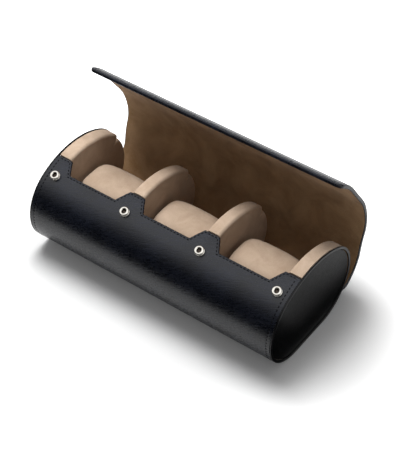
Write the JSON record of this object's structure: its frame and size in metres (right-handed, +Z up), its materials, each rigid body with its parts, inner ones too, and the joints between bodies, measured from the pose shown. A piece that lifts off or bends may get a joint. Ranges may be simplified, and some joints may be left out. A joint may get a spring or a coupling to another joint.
{
  "type": "watch travel case",
  "caption": "Oval leather roll for wrist watches, standing on a flat base with its snap lid open, suede dividers inside and lift-out cushions in its bays.",
  "frame": {"origin": "centre of the flat base, midway between the two ends", "axes": "+X along the roll to its right end, +Y to the back where the lid is hinged, +Z up"},
  "size_m": [0.234, 0.1307, 0.1373],
  "materials": {
    "wrap_leather": "fine-grained, near-black navy, soft sheen",
    "rim_leather": "smooth black, rolled, satin",
    "panel_leather": "smooth black, soft sheen",
    "lining_suede": "tan microsuede with a short nap",
    "pad_suede": "beige microsuede with a short nap",
    "foam": "upholstery foam",
    "board": "grey board",
    "snap_metal": "polished nickel"
  },
  "bodies": {
    "case": {"case_leather": "wrap_leather", "end_rim_left": "rim_leather", "end_rim_right": "rim_leather", "end_panel_left": "panel_leather", "end_panel_right": "panel_leather", "case_board": "board", "end_board_left": "board", "end_board_right": "board", "case_lining": "lining_suede", "snap_studs": "snap_metal", "stud_rivets": "snap_metal", "end_pad_left_cover": "pad_suede", "end_pad_left_core": "foam", "end_pad_right_cover": "pad_suede", "end_pad_right_core": "foam", "divider_left_cover": "pad_suede", "divider_left_core": "foam", "divider_right_cover": "pad_suede", "divider_right_core": "foam"},
    "lid_rear": {"lid_leather_rear": "wrap_leather", "lid_board_rear": "board", "lid_lining_rear": "lining_suede"},
    "lid_middle": {"lid_leather_middle": "wrap_leather", "lid_board_middle": "board", "lid_lining_middle": "lining_suede"},
    "lid_front": {"lid_leather_front": "wrap_leather", "lid_board_front": "board", "lid_lining_front": "lining_suede", "snap_sockets": "snap_metal"},
    "cushion_left": {"cushion_cover_left": "pad_suede", "cushion_core_left": "foam"},
    "cushion_middle": {"cushion_cover_middle": "pad_suede", "cushion_core_middle": "foam"},
    "cushion_right": {"cushion_cover_right": "pad_suede", "cushion_core_right": "foam"}
  },
  "joints": [
    {"name": "lid_hinge", "type": "hinge", "parent": "case", "child": "lid_rear", "pos_m": [0, 0.04488, 0.01083], "axis": [1, 0, 0], "range_deg": [-12, 24.5]},
    {"name": "lid_bend", "type": "hinge", "parent": "lid_rear", "child": "lid_middle", "pos_m": [0, 0.07175, 0.04494], "axis": [1, 0, 0], "range_deg": [-12.1, 24.5]},
    {"name": "lid_flap", "type": "hinge", "parent": "lid_middle", "child": "lid_front", "pos_m": [0, 0.05692, 0.10754], "axis": [1, 0, 0], "range_deg": [0, 15]},
    {"name": "cushion_left_lift", "type": "slide", "parent": "case", "child": "cushion_left", "axis": [0, 0, 1], "range_m": [0, 0.145]},
    {"name": "cushion_middle_lift", "type": "slide", "parent": "case", "child": "cushion_middle", "axis": [0, 0, 1], "range_m": [0, 0.145]},
    {"name": "cushion_right_lift", "type": "slide", "parent": "case", "child": "cushion_right", "axis": [0, 0, 1], "range_m": [0, 0.145]}
  ],
  "couplings": [
    {"joint": "lid_bend", "follows": "lid_hinge", "ratio": 0.99184}
  ]
}
